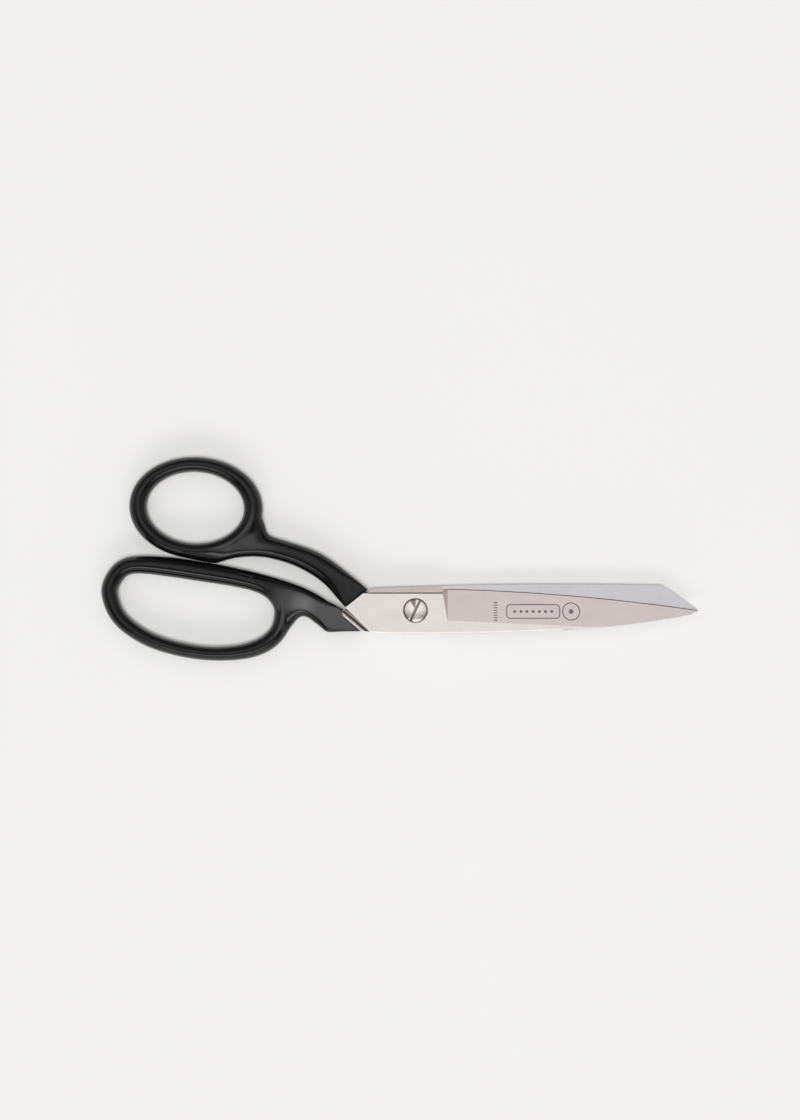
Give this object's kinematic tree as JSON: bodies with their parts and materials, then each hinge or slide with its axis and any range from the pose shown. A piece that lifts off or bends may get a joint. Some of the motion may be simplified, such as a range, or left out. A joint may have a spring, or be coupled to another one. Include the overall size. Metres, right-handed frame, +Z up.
{
  "type": "fabric shears",
  "caption": "Bent-handle dressmaker's shears: two ground steel blades with black enamelled bows, turning on a slotted, locked pivot screw.",
  "frame": {"origin": "on the pivot axis, at the end of the screw's tail, in the plane the shears rest on when they lie flat", "axes": "+X from the pivot to the blades' tips, +Y towards the thumb bow, +Z up out of the slotted side of the pivot screw"},
  "size_m": [0.2031, 0.0695, 0.0092],
  "materials": {
    "plated_steel": "ground, then nickel plated",
    "black_enamel": "glossy baked black enamel over forged steel",
    "turned_steel": "turned and nickel plated",
    "blued_steel": "blued spring steel"
  },
  "bodies": {
    "finger_half": {"finger_blade": "plated_steel", "finger_handle": "black_enamel", "lock_nut": "plated_steel"},
    "thumb_half": {"thumb_blade": "plated_steel", "thumb_handle": "black_enamel", "friction_washer": "blued_steel"},
    "screw": {"pivot_screw": "turned_steel"}
  },
  "joints": [
    {"name": "pivot", "type": "hinge", "parent": "finger_half", "child": "thumb_half", "pos_m": [0, 0, 0.0046], "axis": [0, 0, -1], "range_deg": [0, 60]},
    {"name": "tension_screw", "type": "hinge", "parent": "finger_half", "child": "screw", "pos_m": [0, 0, 0.0046], "axis": [0, 0, 1], "range_deg": [-30, 30]}
  ]
}
